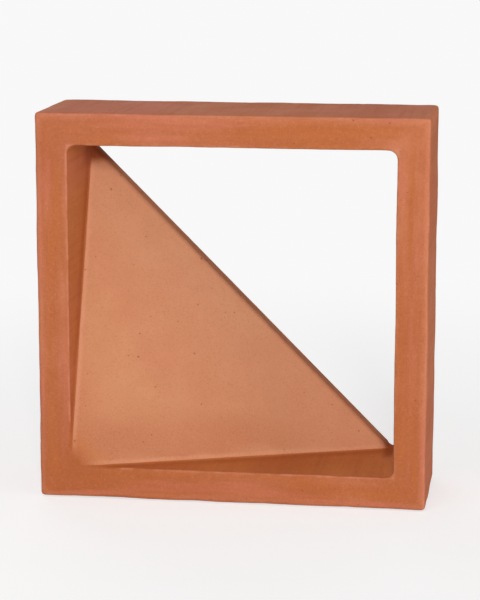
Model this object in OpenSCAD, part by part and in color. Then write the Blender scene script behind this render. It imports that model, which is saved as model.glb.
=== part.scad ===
// Terracotta breeze block: a square fired-clay frame, open right through in one
// triangular half. A sloping panel fills the other half. It starts flush with the
// front face in one corner and falls back to a free edge along the diagonal.
// X is the width, Y the depth (front face at -Y) and Z up, in millimetres.
// The block stands as it is laid, on its bed face, centred on the Z axis.

/* [Block] */
// Width and height of the square face
face_size = 190; // [140:1:290]
// Depth from the front face to the back face
block_depth = 65; // [50:1:110]
// Radius of the soft outer arrises
arris_radius = 1.75; // [0.5:0.25:3]

/* [Opening] */
// Width of the rim around the square opening
rim_width = 16.5; // [12:0.5:26]
// Radius in the corners of the opening and in the acute ends of the hole
corner_radius = 3.5; // [2:0.25:8]

/* [Panel] */
// Thickness of the panel, measured along the depth
panel_thickness = 9.5; // [7:0.5:16]
// How far the panel stays flush with the front face, out from its corner
flush_length = 6; // [1:0.5:12]

/* [Hidden] */

$fn = 48;
cut_margin = 5;

opening_size = face_size - 2 * rim_width;
opening_diagonal = opening_size * sqrt(2);

// The free edge is tangent to the rounded acute ends of the hole.
free_edge_u = opening_diagonal / 2 - corner_radius;
face_y = -block_depth / 2;
back_y = block_depth / 2;
far_y = back_y + cut_margin;
far_u = opening_diagonal + cut_margin;

// A square with four true arcs for corners, centred on its middle.
module rounded_rectangle(width, height, radius) {
    square([width - 2 * radius, height], center = true);
    square([width, height - 2 * radius], center = true);
    for (side_x = [-1, 1], side_y = [-1, 1])
        translate([side_x * (width / 2 - radius), side_y * (height / 2 - radius)])
            circle(radius);
}

// Turns an outline drawn as (X, Z) into a prism that runs along Y.
module along_depth(length) {
    rotate([90, 0, 0])
        linear_extrude(length, center = true)
            children();
}

// Turns a profile drawn as (U, Y) into a prism that runs along the free edge.
// U starts in the panel's flush corner and crosses the opening diagonally.
module along_free_edge() {
    translate([-opening_size / 2, 0, rim_width])
        rotate([0, -45, 0])
            linear_extrude(2 * far_u, center = true)
                children();
}

// The solid block, with all twelve outer edges rounded.
module block_body() {
    translate([0, 0, face_size / 2])
        intersection() {
            along_depth(block_depth)
                rounded_rectangle(face_size, face_size, arris_radius);
            rotate([0, 90, 0])
                linear_extrude(face_size, center = true)
                    rounded_rectangle(face_size, block_depth, arris_radius);
            linear_extrude(face_size, center = true)
                rounded_rectangle(face_size, block_depth, arris_radius);
        }
}

// The square opening as a prism through the whole block.
module opening() {
    translate([0, 0, face_size / 2])
        along_depth(block_depth + 2 * cut_margin)
            rounded_rectangle(opening_size, opening_size, corner_radius);
}

// The triangular hole: three equal circles joined by their common tangents.
module hole_outline() {
    reach = opening_size / 2 - corner_radius;
    diagonal_offset = corner_radius / sqrt(2);
    for (centre = [[-reach, reach], [reach, reach], [reach, -reach]])
        translate(centre)
            circle(corner_radius);
    polygon([
        [-reach, reach + corner_radius],
        [reach, reach + corner_radius],
        [reach + corner_radius, reach],
        [reach + corner_radius, -reach],
        [reach - diagonal_offset, -reach - diagonal_offset],
        [-reach - diagonal_offset, reach - diagonal_offset]
    ]);
}

module hole() {
    translate([0, 0, face_size / 2])
        along_depth(block_depth + 2 * cut_margin)
            hole_outline();
}

// The space in front of the panel.
module front_recess() {
    slope = (back_y - panel_thickness - face_y) / (free_edge_u - flush_length);
    intersection() {
        opening();
        along_free_edge()
            polygon([
                [flush_length, face_y],
                [far_u, face_y + slope * (far_u - flush_length)],
                [far_u, face_y - cut_margin],
                [flush_length - cut_margin / slope, face_y - cut_margin]
            ]);
    }
}

// The hollow behind the panel, which makes it a plate of even thickness.
module rear_hollow() {
    intersection() {
        opening();
        along_free_edge()
            polygon([
                [-cut_margin, face_y + panel_thickness],
                [flush_length, face_y + panel_thickness],
                [free_edge_u, back_y],
                [free_edge_u, far_y],
                [-cut_margin, far_y]
            ]);
    }
}

module breeze_block() {
    color([0.76, 0.46, 0.32])
        difference() {
            block_body();
            front_recess();
            rear_hollow();
            hole();
        }
}

breeze_block();
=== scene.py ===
"""Looks of the terracotta breeze block: one fired piece of clay on a pale studio floor."""

import math
from types import SimpleNamespace

import bpy
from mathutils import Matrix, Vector


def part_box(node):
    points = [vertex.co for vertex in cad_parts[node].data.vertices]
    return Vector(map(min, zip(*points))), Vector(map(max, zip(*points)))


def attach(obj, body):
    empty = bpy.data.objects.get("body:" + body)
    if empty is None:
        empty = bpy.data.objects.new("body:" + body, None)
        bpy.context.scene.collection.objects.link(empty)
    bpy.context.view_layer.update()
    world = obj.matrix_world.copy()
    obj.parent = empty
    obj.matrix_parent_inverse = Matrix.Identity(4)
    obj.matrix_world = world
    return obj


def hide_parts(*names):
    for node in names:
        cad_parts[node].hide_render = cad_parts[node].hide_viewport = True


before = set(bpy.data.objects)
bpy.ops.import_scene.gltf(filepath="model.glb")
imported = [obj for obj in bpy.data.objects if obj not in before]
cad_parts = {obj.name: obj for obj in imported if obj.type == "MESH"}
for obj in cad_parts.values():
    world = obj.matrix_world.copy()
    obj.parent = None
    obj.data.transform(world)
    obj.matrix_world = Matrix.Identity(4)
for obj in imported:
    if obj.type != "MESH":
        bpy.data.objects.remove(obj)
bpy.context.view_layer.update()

MM = 0.001

# The block's own dimensions, as the frame was built with. Its outer size is read from the frame.
RIM_WIDTH = 16.5 * MM
CORNER_RADIUS = 3.5 * MM
ARRIS_RADIUS = 1.75 * MM
PANEL_THICKNESS = 9.5 * MM
FLUSH_LENGTH = 6 * MM

block_low, block_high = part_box("breeze_block")
FRONT, BACK = block_low.y, block_high.y
WIDTH, DEPTH = block_high.x - block_low.x, BACK - FRONT
CENTRE = (block_low + block_high) / 2
OPENING_LOW = Vector((block_low.x + RIM_WIDTH, FRONT, block_low.z + RIM_WIDTH))
OPENING_HIGH = Vector((block_high.x - RIM_WIDTH, BACK, block_high.z - RIM_WIDTH))
OPENING_SIZE = OPENING_HIGH.x - OPENING_LOW.x

# The panel slopes back from its flush corner along this direction, to its free edge.
FLUSH_CORNER = Vector((OPENING_LOW.x, 0, OPENING_LOW.z))
OUTWARD = Vector((1, 0, 1)).normalized()
FREE_EDGE = OPENING_SIZE / math.sqrt(2) - CORNER_RADIUS
PANEL_SLOPE = (BACK - PANEL_THICKNESS - FRONT) / (FREE_EDGE - FLUSH_LENGTH)

# How far each plug stands out of the block, so that it cuts cleanly through the face.
PAST_FACE = 5 * MM

# The skin: how finely it is cut up, how many triangles it keeps, and how far its worn stretches reach.
FIRST_CELL = 0.6 * MM
LAST_CELL = 0.55 * MM
MOST_TRIANGLES = 190_000
FOLD_REACH = 9 * MM
ARRIS_REACH = 2.2 * MM

# A little over 1, so that the highest spots of the skin sink too, and none stands out of the block.
ALL_INWARDS = 1.05


# ---------------------------------------------------------------- camera

def add_camera():
    """A long lens about a metre off, a little to the right of the block and above it."""
    distance = 15.7 * DEPTH
    place = Vector((0.82 * WIDTH, FRONT - distance, CENTRE.z + 1.08 * WIDTH))
    bpy.ops.object.camera_add(location=place)
    camera = bpy.context.object
    camera.name = "camera"
    camera.rotation_mode = "QUATERNION"
    camera.rotation_quaternion = (CENTRE - place).to_track_quat("-Z", "Y")
    camera.data.lens = 132
    camera.data.clip_end = 20
    bpy.context.scene.camera = camera


# ---------------------------------------------------------------- modelling tools

def add_box(name, low, high):
    """A box between two corners, with its place in its mesh."""
    bpy.ops.object.select_all(action="DESELECT")
    bpy.ops.mesh.primitive_cube_add(size=1, location=(low + high) / 2)
    box = bpy.context.object
    box.name = name
    box.scale = high - low
    bpy.ops.object.transform_apply(location=True, rotation=True, scale=True)
    return box


def round_edges(piece, wanted, radius, corner_degrees=90, segments=6):
    """Rounds the edges for which wanted(one end, other end) is true to an arc of this radius."""
    for item in (*piece.data.polygons, *piece.data.vertices):
        item.select = False
    for edge in piece.data.edges:
        one_end, other_end = (piece.data.vertices[i].co for i in edge.vertices)
        edge.select = wanted(one_end, other_end)
    half_corner = math.radians(corner_degrees / 2)
    reach = radius / math.tan(half_corner)
    # A bevel is a true arc in a square corner only. In a sharper one it has to be flatter.
    roundness = ((1 + 2 * math.sin(half_corner)) / (2 + 2 * math.sin(half_corner))) ** 2
    bpy.context.view_layer.objects.active = piece
    bpy.ops.object.mode_set(mode="EDIT")
    bpy.ops.mesh.select_mode(type="EDGE")
    bpy.ops.mesh.bevel(offset=reach, segments=segments, profile=roundness, affect="EDGES")
    bpy.ops.object.mode_set(mode="OBJECT")


def slice_off(piece, point, normal):
    """Cuts the piece flat through the point and drops the side that the normal points to."""
    bpy.context.view_layer.objects.active = piece
    bpy.ops.object.mode_set(mode="EDIT")
    bpy.ops.mesh.select_all(action="SELECT")
    bpy.ops.mesh.bisect(plane_co=point, plane_no=normal, use_fill=True, clear_outer=True)
    bpy.ops.object.mode_set(mode="OBJECT")


def apply_modifier(piece, kind, **settings):
    """Adds one modifier and applies it."""
    modifier = piece.modifiers.new(kind.lower(), kind)
    for name, value in settings.items():
        setattr(modifier, name, value)
    bpy.context.view_layer.objects.active = piece
    bpy.ops.object.modifier_apply(modifier=modifier.name)


def press_out(piece, tool):
    """Takes the tool's shape out of the piece, and throws the tool away."""
    apply_modifier(piece, "BOOLEAN", operation="DIFFERENCE", solver="EXACT", object=tool)
    bpy.data.objects.remove(tool)


def runs_along_depth(one_end, other_end):
    return abs((one_end - other_end).normalized().y) > 0.99


# ---------------------------------------------------------------- the block's shape

def opening_plug(name, y_low, y_high):
    """The square opening as a solid, with its rounded corners."""
    plug = add_box(
        name,
        Vector((OPENING_LOW.x, y_low, OPENING_LOW.z)),
        Vector((OPENING_HIGH.x, y_high, OPENING_HIGH.z)),
    )
    round_edges(plug, runs_along_depth, CORNER_RADIUS)
    return plug


def front_plug():
    """Fills the recess in front of the panel."""
    plug = opening_plug("front_plug", FRONT - PAST_FACE, BACK + PAST_FACE)
    crease = FLUSH_CORNER + OUTWARD * FLUSH_LENGTH + Vector((0, FRONT, 0))
    slice_off(plug, crease, Vector((0, 1, 0)) - OUTWARD * PANEL_SLOPE)
    return plug


def rear_plug():
    """Fills the hollow behind the panel."""
    plug = opening_plug("rear_plug", FRONT + PANEL_THICKNESS, BACK + PAST_FACE)
    back_arris = FLUSH_CORNER + OUTWARD * FREE_EDGE + Vector((0, BACK, 0))
    slice_off(plug, back_arris, OUTWARD * PANEL_SLOPE - Vector((0, 1, 0)))
    return plug


def hole_plug():
    """Fills the triangular hole, from face to face."""
    # The free edge falls short of the opening's diagonal, so each leg is longer than the opening.
    leg = 2 * OPENING_SIZE - FREE_EDGE * math.sqrt(2)
    plug = add_box(
        "hole_plug",
        Vector((OPENING_HIGH.x - leg, FRONT - PAST_FACE, OPENING_HIGH.z - leg)),
        Vector((OPENING_HIGH.x, BACK + PAST_FACE, OPENING_HIGH.z)),
    )
    slice_off(plug, FLUSH_CORNER + OUTWARD * FREE_EDGE, -OUTWARD)

    def is_square_corner(one_end, other_end):
        out = (one_end - FLUSH_CORNER).dot(OUTWARD)
        return runs_along_depth(one_end, other_end) and out > FREE_EDGE + leg / 2

    def is_acute_end(one_end, other_end):
        out = (one_end - FLUSH_CORNER).dot(OUTWARD)
        return runs_along_depth(one_end, other_end) and out < FREE_EDGE + MM

    round_edges(plug, is_square_corner, CORNER_RADIUS)
    round_edges(plug, is_acute_end, CORNER_RADIUS, corner_degrees=45, segments=9)
    return plug


# ---------------------------------------------------------------- the block's skin

def weigh(piece, name, weight_at):
    """Gives the piece a group of points, each with the weight that weight_at(place) gives it."""
    group = piece.vertex_groups.new(name=name)
    for point in piece.data.vertices:
        weight = weight_at(point.co)
        if weight > 0:
            group.add([point.index], weight, "REPLACE")
    return group.name


def sink(piece, name, grain, depth, shallow, deep, group=""):
    """Sinks the surface by up to depth where a cloud texture falls from shallow down to deep."""
    lumps = bpy.data.textures.new(name, "CLOUDS")
    lumps.noise_scale = grain
    lumps.noise_depth = 1
    lumps.use_color_ramp = True
    lumps.color_ramp.elements[0].position = deep
    lumps.color_ramp.elements[0].color = (0, 0, 0, 1)
    lumps.color_ramp.elements[1].position = shallow
    lumps.color_ramp.elements[1].color = (1, 1, 1, 1)
    apply_modifier(
        piece, "DISPLACE", texture=lumps, texture_coords="LOCAL", strength=depth,
        mid_level=ALL_INWARDS, vertex_group=group,
    )


def near_fold(place):
    """How close a point is to the fold where the panel leaves the front face, from 0 to 1."""
    out = (place - FLUSH_CORNER).dot(OUTWARD)
    if place.y > FRONT + PANEL_THICKNESS / 2 or out < -FOLD_REACH:
        return 0
    return max(0, 1 - abs(out - FLUSH_LENGTH) / FOLD_REACH)


def near_arris(place):
    """How close a point is to an arris of a square face, and clear of the free edge, from 0 to 1."""
    across = max(abs(place.x - CENTRE.x), abs(place.z - CENTRE.z))
    below_face = min(place.y - FRONT, BACK - place.y)
    to_arris = min(WIDTH / 2 - across, abs(across - OPENING_SIZE / 2))
    to_free_edge = abs((place - FLUSH_CORNER).dot(OUTWARD) - FREE_EDGE)
    clear = min(1, to_free_edge / (3 * ARRIS_REACH))
    return clear * max(0, 1 - max(to_arris, below_face) / ARRIS_REACH)


def fired_block():
    """The whole block: a rounded slab with the recess, the hollow and the hole pressed out of it."""
    block = add_box("fired_block", block_low.copy(), block_high.copy())
    round_edges(block, lambda one_end, other_end: True, ARRIS_RADIUS, segments=4)
    for plug in (front_plug(), rear_plug(), hole_plug()):
        press_out(block, plug)

    apply_modifier(block, "REMESH", mode="VOXEL", voxel_size=FIRST_CELL, use_smooth_shade=True)
    apply_modifier(block, "SMOOTH", factor=0.5, iterations=5)

    # The fold is the only edge that was pressed soft, so it is smoothed many times more.
    fold = weigh(block, "fold", near_fold)
    apply_modifier(block, "SMOOTH", factor=0.5, iterations=60, vertex_group=fold)

    # The marks of drying and handling, from slow swells down to pits.
    arris = weigh(block, "arris", near_arris)
    sink(block, "slow_swell", 42 * MM, 0.6 * MM, shallow=0.9, deep=0.1)
    sink(block, "hand_wobble", 9 * MM, 0.22 * MM, shallow=0.9, deep=0.1)
    sink(block, "nicks", 5 * MM, 0.8 * MM, shallow=0.26, deep=0.12, group=arris)
    sink(block, "pits", 2.4 * MM, 0.4 * MM, shallow=0.24, deep=0.14)

    # A second skin closes what the nicks and pits folded over, and its sharp edges are worn soft.
    apply_modifier(block, "REMESH", mode="VOXEL", voxel_size=LAST_CELL, use_smooth_shade=True)
    apply_modifier(block, "SMOOTH", factor=0.5, iterations=9)
    triangles = 2 * len(block.data.polygons)
    apply_modifier(block, "DECIMATE", ratio=MOST_TRIANGLES / triangles)
    return block


# ---------------------------------------------------------------- colours of the clay, and of its painted shade and highlights

def linear(red, green, blue):
    """A display colour from 0 to 255 as the linear colour that a shader takes."""
    def channel(value):
        value /= 255
        return value / 12.92 if value <= 0.04045 else ((value + 0.055) / 1.055) ** 2.4
    return (channel(red), channel(green), channel(blue), 1)


BROWN_CLAY = linear(189, 109, 68)
PINK_CLAY = linear(204, 125, 90)
MOTTLED_CLAY = linear(182, 102, 63)
DULL_CLAY = linear(172, 95, 52)
LOW_FLASH = linear(172, 92, 46)
HIGH_FLASH = linear(176, 96, 64)

PALE_BROWN = linear(210, 149, 110)
PALE_PINK = linear(207, 142, 105)
PALE_MOTTLE = linear(200, 132, 94)
CORNER_PINK = linear(190, 118, 83)
LOW_DARKER_TONE = linear(186, 114, 80)
KILN_DUST = linear(220, 162, 128)
# Painted highlight along the panel where it meets the walls:
SEAM_HIGHLIGHT = linear(222, 157, 122)

# The walls' orange is partly painted bounce light. The three colours after it are painted shade.
WALL_ORANGE_AND_BOUNCE = linear(213, 133, 66)
WALL_FOOT_SHADE = linear(160, 84, 38)
ACUTE_END_SHADOW = linear(166, 84, 36)
FREE_EDGE_SHADE = linear(128, 68, 44)

RIM_BROWN = linear(187, 106, 62)
# Painted highlight on the rim's rounded outer arris:
RIM_EDGE_HIGHLIGHT = linear(211, 131, 99)
PINK_BAND = linear(203, 118, 92)
ORANGE_BAND = linear(190, 107, 57)
RIM_STREAK = linear(178, 98, 59)
DRAG_MARK = linear(170, 90, 52)
# Lighter worn arrises, partly a painted highlight:
WORN_CLAY_AND_HIGHLIGHT = linear(219, 147, 115)
DARK_GRAIN = linear(150, 80, 50)
LIGHT_GRAIN = linear(226, 160, 124)
IRON_SPECK = linear(140, 74, 45)


# ---------------------------------------------------------------- shader tools

class Paint:
    """Adds the nodes of one shader tree."""

    def __init__(self, tree):
        self.tree = tree

    def add(self, kind, inputs, **settings):
        """Adds a node, and links or sets each input that is given."""
        node = self.tree.nodes.new(kind)
        for name, value in settings.items():
            setattr(node, name, value)
        for socket, value in inputs.items():
            if isinstance(value, bpy.types.NodeSocket):
                self.tree.links.new(value, node.inputs[socket])
            else:
                node.inputs[socket].default_value = value
        return node

    def math(self, operation, first, second=0.0):
        return self.add("ShaderNodeMath", {0: first, 1: second}, operation=operation).outputs[0]

    def less(self, first, second):
        return self.math("SUBTRACT", first, second)

    def plus(self, first, second):
        return self.math("ADD", first, second)

    def times(self, first, *others):
        for other in others:
            first = self.math("MULTIPLY", first, other)
        return first

    def size_of(self, value):
        return self.math("ABSOLUTE", value)

    def fade(self, value, start, stop, low=0.0, high=1.0):
        """Goes smoothly from low at start to high at stop."""
        settings = {"Value": value, 1: start, 2: stop, 3: low, 4: high}
        node = self.add("ShaderNodeMapRange", settings, interpolation_type="SMOOTHSTEP")
        return node.outputs[0]

    def clouds(self, place, size, detail, roughness=0.5):
        """Soft noise from 0 to 1 whose lumps are about size millimetres across."""
        settings = {"Vector": place, "Scale": 1 / size, "Detail": detail, "Roughness": roughness}
        return self.add("ShaderNodeTexNoise", settings).outputs[0]

    def drift(self, place, size, reach):
        """A slow wander of up to about half of reach millimetres either way."""
        return self.times(self.less(self.clouds(place, size, detail=2), 0.5), reach)

    def tint(self, amount, under, over):
        """Lays the colour over on the colour under, as thickly as amount."""
        settings = {"Factor": amount, 6: under, 7: over}
        return self.add("ShaderNodeMix", settings, data_type="RGBA").outputs[2]

    def place_of(self, x, y, z):
        return self.add("ShaderNodeCombineXYZ", {0: x, 1: y, 2: z}).outputs[0]


# ---------------------------------------------------------------- the clay

# Sizes that the patterns below follow. All their distances are in millimetres.
HALF_WIDTH = WIDTH / 2 / MM
HALF_DEPTH = DEPTH / 2 / MM
HALF_OPENING = OPENING_SIZE / 2 / MM
FOLD_AT = FLUSH_LENGTH / MM
FREE_EDGE_AT = FREE_EDGE / MM


def places_on_block(paint):
    """Where a point is: from the middle of the block, across its square, and along its panel."""
    at = SimpleNamespace()
    coords = paint.tree.nodes.new("ShaderNodeTexCoord").outputs["Object"]
    settings = {"Vector": coords, "Location": -CENTRE / MM, "Scale": (1 / MM,) * 3}
    at.place = paint.add("ShaderNodeMapping", settings).outputs[0]
    at.x, at.y, at.z = paint.add("ShaderNodeSeparateXYZ", {0: at.place}).outputs

    across = paint.math("MAXIMUM", paint.size_of(at.x), paint.size_of(at.z))
    at.from_side = paint.less(HALF_WIDTH, across)
    at.into_opening = paint.less(HALF_OPENING, across)
    at.below_face = paint.less(HALF_DEPTH, paint.size_of(at.y))

    from_flush_corner = paint.plus(paint.plus(at.x, at.z), 2 * HALF_OPENING)
    at.out = paint.times(from_flush_corner, math.sqrt(0.5))
    at.past_fold = paint.fade(at.out, FOLD_AT - 4, FOLD_AT + 10)
    panel_depth = paint.times(paint.less(at.out, FOLD_AT), PANEL_SLOPE)
    at.above_panel = paint.less(paint.less(panel_depth, HALF_DEPTH), at.y)

    on_panel = paint.times(at.past_fold, paint.fade(at.above_panel, 2.5, 1.0))
    at.on_panel = paint.times(paint.fade(at.into_opening, -0.15, 0.25), on_panel)
    at.on_rim = paint.fade(at.into_opening, 0.6, -0.6)
    return at


def patterns_of_clay(paint, at):
    """The cloudy patterns that several parts of the clay share."""
    in_clay = SimpleNamespace()
    in_clay.patches = paint.fade(paint.clouds(at.place, 46, detail=1.5), 0.36, 0.64)
    in_clay.mottle = paint.fade(paint.clouds(at.place, 12, detail=3, roughness=0.6), 0.3, 0.7)
    in_clay.drift = paint.drift(at.place, 24, 40)
    in_clay.ragged = paint.times(paint.clouds(at.place, 5, detail=3), 2.4)
    in_clay.grain = paint.clouds(at.place, 0.9, detail=3, roughness=0.65)
    return in_clay


def fired_clay(paint, at, in_clay):
    """The clay itself: pinker and browner patches, mottled, and duller low down."""
    clay = paint.tint(in_clay.patches, BROWN_CLAY, PINK_CLAY)
    clay = paint.tint(paint.times(in_clay.mottle, 0.4), clay, MOTTLED_CLAY)
    low_down = paint.fade(at.z, -66, -86)
    clay = paint.tint(paint.times(low_down, 0.25), clay, DULL_CLAY)

    # The kiln left a browner flash low on the left of the front, and a duller one above it.
    flashes = (
        ((-86, -32, -62), 48, 0.5, LOW_FLASH),
        ((-88, -32, 78), 36, 0.45, HIGH_FLASH),
    )
    for middle, reach, strength, colour in flashes:
        from_middle = paint.add("ShaderNodeVectorMath", {0: at.place, 1: middle}, operation="DISTANCE")
        flash = paint.fade(from_middle.outputs["Value"], reach, reach / 6)
        clay = paint.tint(paint.times(flash, strength), clay, colour)
    return clay


def add_panel(paint, at, in_clay, clay):
    """The panel is paler and dustier, pinker by its flush corner and darker in a band along its foot.
    """
    pale = paint.tint(in_clay.patches, PALE_BROWN, PALE_PINK)
    pale = paint.tint(paint.times(in_clay.mottle, 0.35), pale, PALE_MOTTLE)
    wandering_out = paint.plus(at.out, in_clay.drift)
    by_corner = paint.fade(wandering_out, 46, 14)
    pale = paint.tint(paint.times(by_corner, 0.45), pale, CORNER_PINK)

    above_bed = paint.plus(paint.plus(at.z, HALF_OPENING), paint.times(in_clay.drift, 0.4))
    low_band = paint.times(paint.fade(above_bed, 1, 6), paint.fade(above_bed, 26, 10))
    low_band = paint.times(low_band, paint.fade(wandering_out, 95, 60))
    pale = paint.tint(paint.times(low_band, 0.4), pale, LOW_DARKER_TONE)
    dusty = paint.fade(at.out, 60, 104)
    pale = paint.tint(paint.times(dusty, 0.35), pale, KILN_DUST)
    return paint.tint(paint.times(at.on_panel, 0.9), clay, pale)


def add_opening(paint, at, in_clay, clay):
    """The walls are a deep orange that is partly painted bounce light, with painted shade at their
    foot by the panel. The panel's acute ends carry a painted shadow.
    """
    # Deep orange on the walls, partly painted bounce light between them.
    wall = paint.times(paint.fade(at.into_opening, -1.7, -1.3), paint.fade(at.below_face, 1, 4))
    wall = paint.times(wall, paint.less(1.0, at.on_panel))
    clay = paint.tint(paint.times(wall, 0.6), clay, WALL_ORANGE_AND_BOUNCE)
    # Painted shade along the foot of the walls, in the crease where they meet the panel.
    foot = paint.times(paint.fade(at.above_panel, 12, 1.5), paint.fade(at.above_panel, -1.5, 0))
    into_wall = paint.size_of(paint.less(at.into_opening, -0.6))
    foot = paint.times(foot, paint.fade(into_wall, 1.0, 0.6))
    clay = paint.tint(paint.times(foot, 0.5), clay, WALL_FOOT_SHADE)

    # A pale, ragged painted highlight runs along the panel where it meets the walls.
    seam_highlight = paint.fade(paint.plus(at.into_opening, in_clay.ragged), 4, 2)
    seam_highlight = paint.times(seam_highlight, paint.fade(at.into_opening, 0.0, 0.3), at.on_panel)
    clay = paint.tint(paint.times(seam_highlight, 0.5), clay, SEAM_HIGHLIGHT)

    # Painted shadow at the panel's two acute ends, under the top rim and beside the right wall.
    wander = paint.times(in_clay.drift, 0.1)
    top_end_shadow = paint.fade(paint.plus(at.z, wander), HALF_OPENING - 16, HALF_OPENING - 11)
    side_end_shadow = paint.fade(paint.plus(at.x, wander), HALF_OPENING - 9.5, HALF_OPENING - 6)
    acute_end = paint.times(
        paint.math("MAXIMUM", top_end_shadow, side_end_shadow),
        paint.fade(at.y, 0, 16),
        paint.fade(at.into_opening, -1.2, -0.7),
        paint.fade(at.out, FREE_EDGE_AT + 2, FREE_EDGE_AT),
    )
    clay = paint.tint(paint.times(acute_end, 0.85), clay, ACUTE_END_SHADOW)

    # Painted shade: the free edge is painted a darker, duller brown.
    free_edge = paint.times(
        paint.fade(at.out, FREE_EDGE_AT - 2.4, FREE_EDGE_AT - 0.5),
        paint.fade(at.into_opening, 0.3, 1.0),
        paint.fade(at.out, FREE_EDGE_AT + 2, FREE_EDGE_AT + 1),
    )
    return paint.tint(paint.times(free_edge, 0.3), clay, FREE_EDGE_SHADE)


def add_rim(paint, at, clay):
    """The middle of the rim is browner, and the band along its outer edge is a pinker, lighter painted
    highlight on the rounded arris.
    """
    from_middle = paint.size_of(paint.less(at.from_side, RIM_WIDTH / 2 / MM))
    mid_rim = paint.times(at.on_rim, paint.fade(from_middle, 6, 1.5))
    clay = paint.tint(paint.times(mid_rim, 0.3), clay, RIM_BROWN)
    # Painted highlight along the rim's rounded outer arris.
    wander = paint.drift(at.place, 22, 5)
    outer_band_highlight = paint.fade(paint.plus(at.from_side, wander), 4.6, 1.4)
    return paint.tint(paint.times(outer_band_highlight, 0.5), clay, RIM_EDGE_HIGHLIGHT)


def add_streaks(paint, at, clay):
    """Bands and streaks run along each side of the rim, and break off at its mitres."""
    upright = paint.math("GREATER_THAN", paint.size_of(at.x), paint.size_of(at.z))
    level = paint.less(1.0, upright)
    lengthways = paint.plus(paint.times(at.z, upright), paint.times(at.x, level))
    sideways = paint.plus(paint.times(at.x, upright), paint.times(at.z, level))
    # The level sides read another part of the pattern, 40 mm away, so that no two sides match.
    drawn_out = paint.place_of(paint.times(lengthways, 0.09), sideways, paint.times(level, 40))
    from_mitre = paint.size_of(paint.less(paint.size_of(at.x), paint.size_of(at.z)))
    along_rim = paint.times(at.on_rim, paint.fade(from_mitre, 1, 12))

    bands = paint.clouds(drawn_out, 7, detail=1.5)
    pink = paint.times(paint.fade(bands, 0.5, 0.66), along_rim)
    clay = paint.tint(paint.times(pink, 0.5), clay, PINK_BAND)
    orange = paint.times(paint.fade(bands, 0.5, 0.34), along_rim)
    clay = paint.tint(paint.times(orange, 0.5), clay, ORANGE_BAND)
    streaks = paint.fade(paint.clouds(drawn_out, 4, detail=3, roughness=0.6), 0.35, 0.7)
    streaks = paint.times(streaks, along_rim)
    return paint.tint(paint.times(streaks, 0.4), clay, RIM_STREAK), streaks


def add_drag_marks(paint, at, clay):
    """Drag marks run from face to face on the outer sides and on the walls of the opening."""
    drawn_out = paint.place_of(paint.times(at.x, 0.4), paint.times(at.y, 0.02), paint.times(at.z, 0.4))
    marks = paint.fade(paint.clouds(drawn_out, 1, detail=3, roughness=0.6), 0.4, 0.75)
    on_sides = paint.times(paint.fade(at.below_face, 0.8, 3), paint.fade(at.into_opening, 0.4, 0.1))
    marks = paint.times(marks, on_sides)
    return paint.tint(paint.times(marks, 0.25), clay, DRAG_MARK), marks


def add_wear_and_highlight(paint, at, in_clay, clay):
    """Worn arrises are lighter, partly real wear and partly a painted highlight. The front one fades
    out where the panel lies flush.
    """
    on_front = paint.math("LESS_THAN", at.y, 0.0)
    no_arris = paint.times(paint.less(1.0, at.past_fold), on_front)
    to_opening = paint.plus(paint.size_of(at.into_opening), paint.times(no_arris, 20))
    to_arris = paint.math("MINIMUM", at.from_side, to_opening)
    to_arris = paint.math("MAXIMUM", to_arris, at.below_face)
    wear_and_highlight = paint.fade(paint.plus(to_arris, in_clay.ragged), 3, 1.1)
    return paint.tint(paint.times(wear_and_highlight, 0.55), clay, WORN_CLAY_AND_HIGHLIGHT)


def add_grit(paint, at, in_clay, clay):
    """Grain, and scattered iron specks in many sizes."""
    clay = paint.tint(paint.fade(in_clay.grain, 0.5, 0.85, 0, 0.4), clay, DARK_GRAIN)
    clay = paint.tint(paint.fade(in_clay.grain, 0.48, 0.2, 0, 0.25), clay, LIGHT_GRAIN)
    shake = paint.add("ShaderNodeTexNoise", {"Vector": at.place, "Scale": 1 / 1.6}).outputs["Color"]
    shaken = paint.add("ShaderNodeVectorMath", {0: shake, 1: at.place}, operation="ADD").outputs[0]
    cells = paint.add("ShaderNodeTexVoronoi", {"Vector": shaken, "Scale": 1 / 4.5})
    luck = paint.add("ShaderNodeSeparateColor", {0: cells.outputs["Color"]}).outputs[0]
    speck_size = paint.fade(luck, 0.4, 1.0, 0.0, 0.15)
    specks = paint.fade(paint.less(cells.outputs["Distance"], speck_size), 0.0, -0.08)
    return paint.tint(paint.times(specks, 0.5), clay, IRON_SPECK), specks


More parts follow.
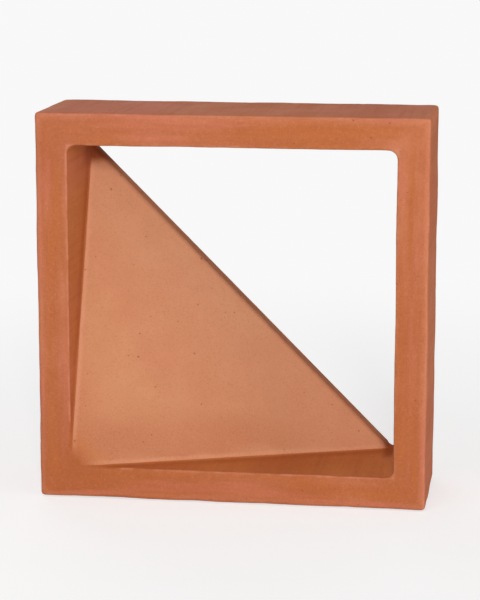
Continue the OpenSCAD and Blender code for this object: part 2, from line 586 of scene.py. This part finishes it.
def terracotta():
    """Unglazed fired clay: cloudy orange-brown, streaked along the rim, gritty and quite matte."""
    material = bpy.data.materials.new("terracotta")
    material.use_nodes = True
    paint = Paint(material.node_tree)
    at = places_on_block(paint)
    in_clay = patterns_of_clay(paint, at)

    clay = fired_clay(paint, at, in_clay)
    clay = add_panel(paint, at, in_clay, clay)
    clay = add_opening(paint, at, in_clay, clay)
    clay = add_rim(paint, at, clay)
    clay, streaks = add_streaks(paint, at, clay)
    clay, drag_marks = add_drag_marks(paint, at, clay)
    clay = add_wear_and_highlight(paint, at, in_clay, clay)
    clay, specks = add_grit(paint, at, in_clay, clay)

    # Relief too fine to model, in millimetres: grain, soft lumps, drag marks and pinholes.
    height = paint.times(in_clay.grain, 0.12)
    height = paint.plus(height, paint.times(paint.clouds(at.place, 3, detail=2), 0.18))
    height = paint.less(height, paint.times(paint.plus(streaks, drag_marks), 0.06))
    height = paint.less(height, paint.times(specks, 0.15))
    relief = paint.add("ShaderNodeBump", {"Height": height, "Distance": MM, "Strength": 1.0})

    shader = material.node_tree.nodes["Principled BSDF"]
    shader.inputs["Specular IOR Level"].default_value = 0.08
    roughness = paint.fade(in_clay.mottle, 0.0, 1.0, 0.86, 0.97)
    paint.tree.links.new(clay, shader.inputs["Base Color"])
    paint.tree.links.new(roughness, shader.inputs["Roughness"])
    paint.tree.links.new(relief.outputs[0], shader.inputs["Normal"])
    return material


# ---------------------------------------------------------------- studio

# How bright the backdrop shows, the floor's own part of that, and the even light from all round.
BACKDROP = 0.94
FLOOR_GLOW = 0.56
SKY_LIGHT = 0.24

# The floor's two greys: the one that shows and takes the shadow, and the one that lights the block.
SHOWN_GREY = (0.55, 0.55, 0.55, 1)
BOUNCE_GREY = (0.75, 0.75, 0.75, 1)
WHITE = (1, 1, 1, 1)

# In metres: how far the lamps stand off, the floor's side, and where it turns into the backdrop.
LAMP_DISTANCE = 2.3
FLOOR_SIZE = 12
FLOOR_FADES_FROM, FLOOR_FADES_TO = 0.18, 0.6


def seen_directly(paint):
    """1 for rays that show the studio itself: seen by the camera, in a gloss or through glass."""
    rays = paint.tree.nodes.new("ShaderNodeLightPath").outputs
    seen = paint.math("MAXIMUM", rays["Is Camera Ray"], rays["Is Glossy Ray"])
    return paint.math("MAXIMUM", seen, rays["Is Transmission Ray"])


def pale_floor():
    """A floor that keeps the block's shadow near it and fades into the backdrop further out."""
    material = bpy.data.materials.new("pale_floor")
    material.use_nodes = True
    material.node_tree.nodes.clear()
    paint = Paint(material.node_tree)
    shown = paint.add("ShaderNodeBsdfDiffuse", {"Color": SHOWN_GREY}).outputs[0]
    glow = paint.add("ShaderNodeEmission", {"Strength": FLOOR_GLOW}).outputs[0]
    near = paint.add("ShaderNodeAddShader", {0: shown, 1: glow}).outputs[0]
    far = paint.add("ShaderNodeEmission", {"Strength": BACKDROP}).outputs[0]
    coords = paint.tree.nodes.new("ShaderNodeTexCoord").outputs["Object"]
    distance = paint.add("ShaderNodeVectorMath", {0: coords}, operation="LENGTH").outputs["Value"]
    further_out = paint.fade(distance, FLOOR_FADES_FROM, FLOOR_FADES_TO)
    seen = paint.add("ShaderNodeMixShader", {0: further_out, 1: near, 2: far}).outputs[0]
    bounce = paint.add("ShaderNodeBsdfDiffuse", {"Color": BOUNCE_GREY}).outputs[0]
    choice = paint.add("ShaderNodeMixShader", {0: seen_directly(paint), 1: bounce, 2: seen})
    paint.add("ShaderNodeOutputMaterial", {0: choice.outputs[0]})
    return material


def add_floor():
    bpy.ops.object.select_all(action="DESELECT")
    bpy.ops.mesh.primitive_plane_add(size=FLOOR_SIZE, location=(0, 0, 0))
    floor = bpy.context.object
    floor.name = "floor"
    floor.data.materials.append(pale_floor())


def add_lamp(name, azimuth, elevation, size, power):
    """A square soft lamp that faces the block; azimuth 0 is straight in front, and 90 is at +X."""
    turn, rise = math.radians(azimuth), math.radians(elevation)
    away = Vector((math.cos(rise) * math.sin(turn), -math.cos(rise) * math.cos(turn), math.sin(rise)))
    bpy.ops.object.light_add(type="AREA", location=CENTRE + LAMP_DISTANCE * away)
    lamp = bpy.context.object
    lamp.name = name
    lamp.data.size = size
    lamp.data.energy = power
    lamp.rotation_mode = "QUATERNION"
    lamp.rotation_quaternion = away.to_track_quat("Z", "Y")


def add_sky():
    """Even light from all round, behind a backdrop that shows nearly white."""
    world = bpy.data.worlds.new("studio")
    bpy.context.scene.world = world
    world.use_nodes = True
    world.node_tree.nodes.clear()
    paint = Paint(world.node_tree)
    light = paint.add("ShaderNodeBackground", {"Color": WHITE, "Strength": SKY_LIGHT}).outputs[0]
    backdrop = paint.add("ShaderNodeBackground", {"Color": WHITE, "Strength": BACKDROP}).outputs[0]
    choice = paint.add("ShaderNodeMixShader", {0: seen_directly(paint), 1: light, 2: backdrop})
    paint.add("ShaderNodeOutputWorld", {0: choice.outputs[0]})


# ---------------------------------------------------------------- the scene

add_camera()
bpy.context.scene.view_settings.view_transform = "Standard"
add_floor()
add_sky()
add_lamp("key_lamp", azimuth=10, elevation=17, size=0.36, power=27.3)
add_lamp("side_lamp", azimuth=70, elevation=5, size=1.2, power=18)
add_lamp("top_lamp", azimuth=-20, elevation=55, size=1.2, power=7)
add_lamp("back_lamp", azimuth=205, elevation=6, size=1.6, power=30)

block = fired_block()
block.data.materials.append(terracotta())
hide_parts("breeze_block")
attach(block, "root")
